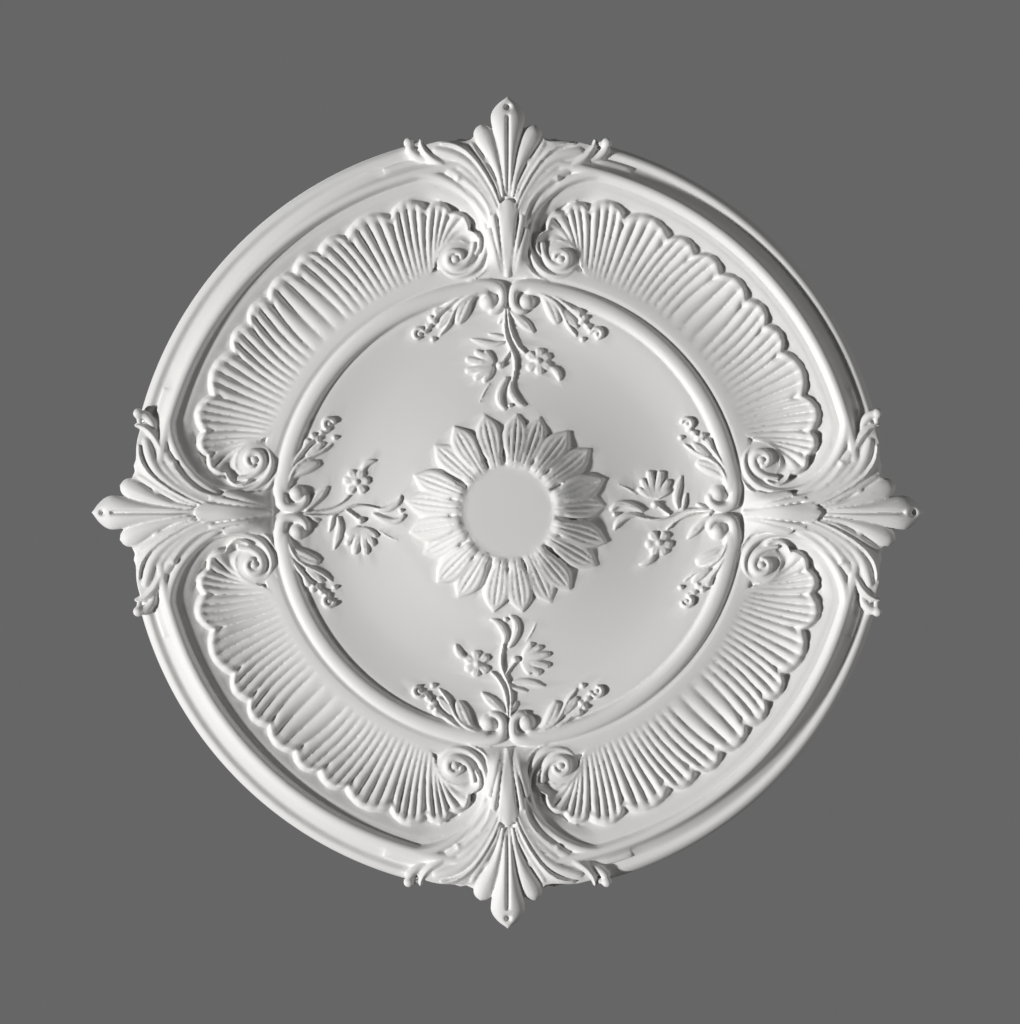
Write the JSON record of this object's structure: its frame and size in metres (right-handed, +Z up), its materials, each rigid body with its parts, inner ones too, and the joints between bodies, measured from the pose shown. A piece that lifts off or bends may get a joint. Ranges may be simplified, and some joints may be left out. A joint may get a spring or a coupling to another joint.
{
  "type": "ceiling rose",
  "caption": "Round white ceiling rose cast in one piece, with acanthus crests, fluted shell panels, flower sprays and a sunflower round a flat disc.",
  "frame": {"origin": "centre of the flat back, which lies against the ceiling", "axes": "+Z up into the ceiling, so that the relief faces down towards -Z; +X and -Y each towards a crest, the picture's right and top"},
  "size_m": [0.85, 0.85, 0.052],
  "materials": {
    "primed_white": "matte white primer on a rigid polyurethane casting, with the soft edges of a plaster mould"
  },
  "bodies": {
    "root": {"ceiling_rose": "primed_white"}
  },
  "joints": []
}
